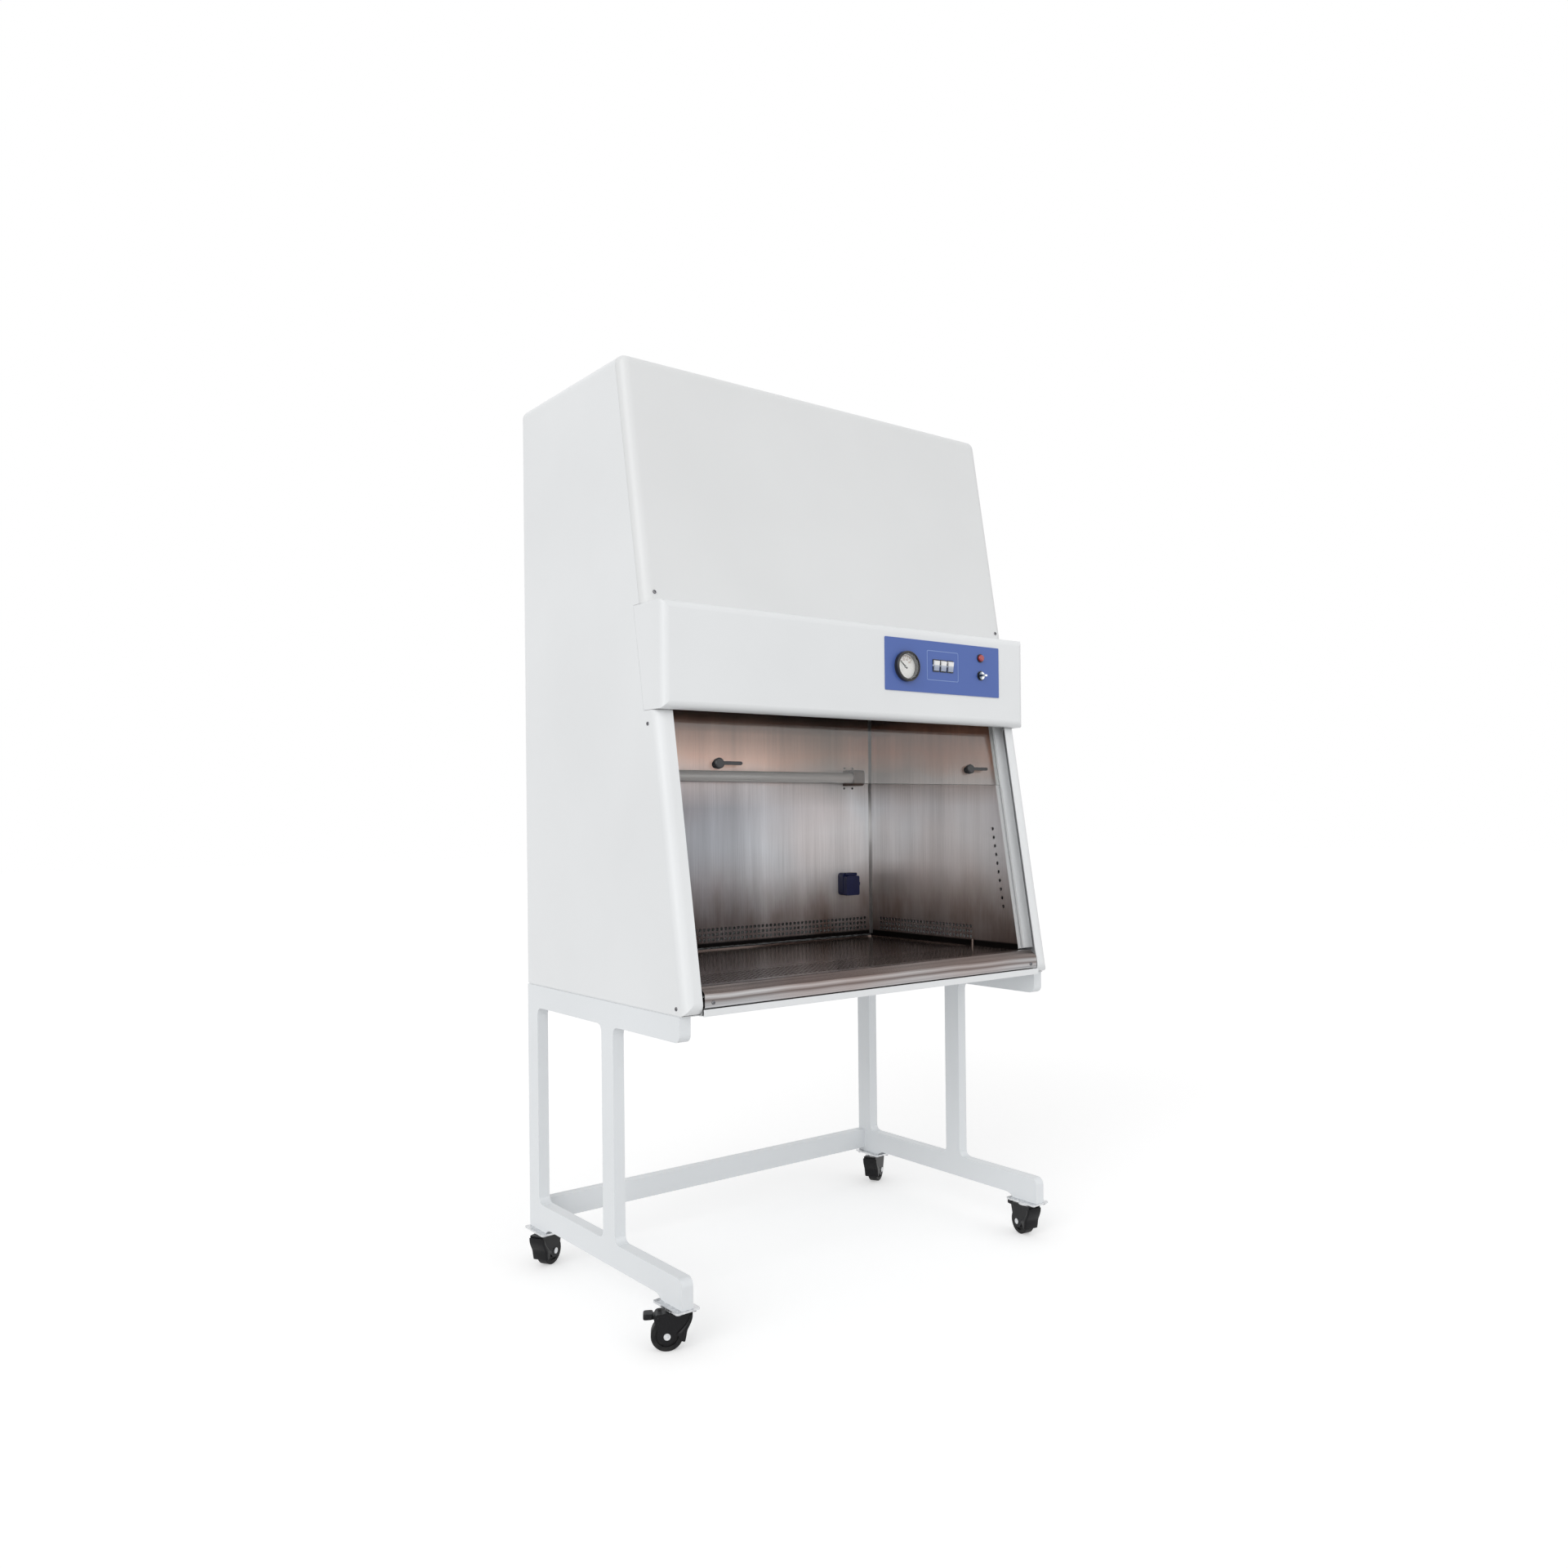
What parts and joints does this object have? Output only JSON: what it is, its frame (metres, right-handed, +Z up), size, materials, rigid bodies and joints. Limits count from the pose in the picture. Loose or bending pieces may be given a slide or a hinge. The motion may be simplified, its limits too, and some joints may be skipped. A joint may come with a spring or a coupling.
{
  "type": "biosafety cabinet",
  "caption": "Sloping-front biosafety cabinet with a glass sash, steel work chamber and control console on a castered tube stand.",
  "frame": {"origin": "on the floor under the centre of the overall box", "axes": "+X to the user's right, +Y to the back, +Z up; the user stands on the -Y side"},
  "size_m": [1.0978, 0.6994, 1.96],
  "materials": {
    "panel_white": "powder coat, fine satin",
    "track_white": "powder coat, satin",
    "stand_white": "powder coat, satin",
    "stainless": "vertical brushed grain",
    "galvanised": "zinc coated sheet",
    "zinc": "bright zinc plate",
    "motor_grey": "satin enamel",
    "sash_glass": "clear toughened glass",
    "gauge_glass": "clear",
    "tube_glass": "lamp tube glass",
    "holder_white": "moulded, gloss",
    "panel_blue": "printed panel film, satin",
    "black_plastic": "moulded, satin",
    "dial_white": "matt dial",
    "lamp_red": "translucent lens",
    "navy_plastic": "moulded, gloss",
    "filter_white": "pleated glass fibre in a frame",
    "caster_black": "moulded nylon",
    "wheel_black": "moulded tread"
  },
  "bodies": {
    "cabinet": {"stand_top_rails": "stand_white", "stand_bottom_rails": "stand_white", "stand_legs": "stand_white", "stand_cross_bars": "stand_white", "caster_plates": "zinc", "fasteners": "zinc", "side_panels": "panel_white", "upper_front_cover": "panel_white", "top_panel": "panel_white", "rear_panel": "panel_white", "mains_inlet": "black_plastic", "console_housing": "panel_white", "control_panel": "panel_blue", "gauge_case": "black_plastic", "gauge_dial": "dial_white", "gauge_glass": "gauge_glass", "switch_frames": "black_plastic", "indicator_lamp": "lamp_red", "base_pan": "panel_white", "front_grille": "stainless", "front_lip": "stainless", "chamber_rear_wall": "stainless", "chamber_side_walls": "stainless", "chamber_ceiling": "stainless", "sash_tracks": "track_white", "uv_tube": "tube_glass", "work_lamp": "tube_glass", "lamp_holders": "holder_white", "socket_body": "navy_plastic", "filters": "filter_white", "plenum_box": "galvanised", "blower_housing": "galvanised", "blower_motor": "motor_grey"},
    "sash": {"sash_glass": "sash_glass"},
    "lever_left": {"sash_lever_left": "black_plastic"},
    "lever_right": {"sash_lever_right": "black_plastic"},
    "tray": {"work_tray": "stainless"},
    "impeller": {"blower_impeller": "galvanised"},
    "pointer": {"gauge_pointer": "black_plastic"},
    "rocker_a": {"rocker_1": "holder_white"},
    "rocker_b": {"rocker_2": "holder_white"},
    "rocker_c": {"rocker_3": "holder_white"},
    "key": {"key_switch": "zinc"},
    "lid": {"socket_lid": "navy_plastic"},
    "swivel_fl": {"caster_fl_fork": "caster_black", "caster_fl_axle": "zinc"},
    "wheel_fl": {"caster_fl_wheel": "wheel_black"},
    "pedal_fl": {"caster_fl_pedal": "caster_black"},
    "swivel_fr": {"caster_fr_fork": "caster_black", "caster_fr_axle": "zinc"},
    "wheel_fr": {"caster_fr_wheel": "wheel_black"},
    "pedal_fr": {"caster_fr_pedal": "caster_black"},
    "swivel_rl": {"caster_rl_fork": "caster_black", "caster_rl_axle": "zinc"},
    "wheel_rl": {"caster_rl_wheel": "wheel_black"},
    "pedal_rl": {"caster_rl_pedal": "caster_black"},
    "swivel_rr": {"caster_rr_fork": "caster_black", "caster_rr_axle": "zinc"},
    "wheel_rr": {"caster_rr_wheel": "wheel_black"},
    "pedal_rr": {"caster_rr_pedal": "caster_black"}
  },
  "joints": [
    {"name": "sash_slide", "type": "slide", "parent": "cabinet", "child": "sash", "axis": [0, 0.1753, 0.9845], "range_m": [-0.3987, 0.11]},
    {"name": "lever_left_turn", "type": "hinge", "parent": "sash", "child": "lever_left", "pos_m": [-0.352, -0.23107, 1.12544], "axis": [0, -0.9845, 0.1753], "range_deg": [0, 90]},
    {"name": "lever_right_turn", "type": "hinge", "parent": "sash", "child": "lever_right", "pos_m": [0.352, -0.23107, 1.12544], "axis": [0, -0.9845, 0.1753], "range_deg": [0, 90]},
    {"name": "tray_lift", "type": "slide", "parent": "cabinet", "child": "tray", "axis": [0, 0, 1], "range_m": [0, 0.1]},
    {"name": "impeller_spin", "type": "hinge", "parent": "cabinet", "child": "impeller", "pos_m": [0, 0.078, 1.6], "axis": [1, 0, 0], "continuous": true},
    {"name": "pointer_turn", "type": "hinge", "parent": "cabinet", "child": "pointer", "pos_m": [0.119, -0.27604, 1.351], "axis": [0, 1, 0], "range_deg": [0, 100], "stiffness_Nm_per_rad": 0.0002},
    {"name": "rocker_a_tilt", "type": "hinge", "parent": "cabinet", "child": "rocker_a", "pos_m": [0.209, -0.27604, 1.359], "axis": [-1, 0, 0], "range_deg": [0, 18]},
    {"name": "rocker_b_tilt", "type": "hinge", "parent": "cabinet", "child": "rocker_b", "pos_m": [0.231, -0.27604, 1.359], "axis": [-1, 0, 0], "range_deg": [0, 18]},
    {"name": "rocker_c_tilt", "type": "hinge", "parent": "cabinet", "child": "rocker_c", "pos_m": [0.253, -0.27604, 1.359], "axis": [-1, 0, 0], "range_deg": [0, 18]},
    {"name": "key_turn", "type": "hinge", "parent": "cabinet", "child": "key", "pos_m": [0.352, -0.27604, 1.345], "axis": [0, 1, 0], "range_deg": [0, 90]},
    {"name": "lid_open", "type": "hinge", "parent": "cabinet", "child": "lid", "pos_m": [0.369, 0.2427, 0.862], "axis": [-1, 0, 0], "range_deg": [0, 100], "stiffness_Nm_per_rad": 0.02},
    {"name": "swivel_fl_turn", "type": "hinge", "parent": "cabinet", "child": "swivel_fl", "pos_m": [-0.4875, -0.28, 0.0757], "axis": [0, 0, 1], "continuous": true},
    {"name": "wheel_fl_roll", "type": "hinge", "parent": "swivel_fl", "child": "wheel_fl", "pos_m": [-0.50309, -0.271, 0.031], "axis": [-0.5, -0.866, 0], "continuous": true},
    {"name": "pedal_fl_press", "type": "hinge", "parent": "swivel_fl", "child": "pedal_fl", "pos_m": [-0.51694, -0.263, 0.065], "axis": [-0.5, -0.866, 0], "range_deg": [0, 15]},
    {"name": "swivel_fr_turn", "type": "hinge", "parent": "cabinet", "child": "swivel_fr", "pos_m": [0.4875, -0.28, 0.0757], "axis": [0, 0, 1], "continuous": true},
    {"name": "wheel_fr_roll", "type": "hinge", "parent": "swivel_fr", "child": "wheel_fr", "pos_m": [0.49063, -0.26227, 0.031], "axis": [-0.9848, 0.1736, 0], "continuous": true},
    {"name": "pedal_fr_press", "type": "hinge", "parent": "swivel_fr", "child": "pedal_fr", "pos_m": [0.4934, -0.24652, 0.065], "axis": [-0.9848, 0.1736, 0], "range_deg": [0, 15]},
    {"name": "swivel_rl_turn", "type": "hinge", "parent": "cabinet", "child": "swivel_rl", "pos_m": [-0.4875, 0.304, 0.0757], "axis": [0, 0, 1], "continuous": true},
    {"name": "wheel_rl_roll", "type": "hinge", "parent": "swivel_rl", "child": "wheel_rl", "pos_m": [-0.47191, 0.313, 0.031], "axis": [-0.5, 0.866, 0], "continuous": true},
    {"name": "pedal_rl_press", "type": "hinge", "parent": "swivel_rl", "child": "pedal_rl", "pos_m": [-0.45805, 0.321, 0.065], "axis": [-0.5, 0.866, 0], "range_deg": [0, 15]},
    {"name": "swivel_rr_turn", "type": "hinge", "parent": "cabinet", "child": "swivel_rr", "pos_m": [0.4875, 0.304, 0.0757], "axis": [0, 0, 1], "continuous": true},
    {"name": "wheel_rr_roll", "type": "hinge", "parent": "swivel_rr", "child": "wheel_rr", "pos_m": [0.50309, 0.313, 0.031], "axis": [-0.5, 0.866, 0], "continuous": true},
    {"name": "pedal_rr_press", "type": "hinge", "parent": "swivel_rr", "child": "pedal_rr", "pos_m": [0.51694, 0.321, 0.065], "axis": [-0.5, 0.866, 0], "range_deg": [0, 15]}
  ]
}
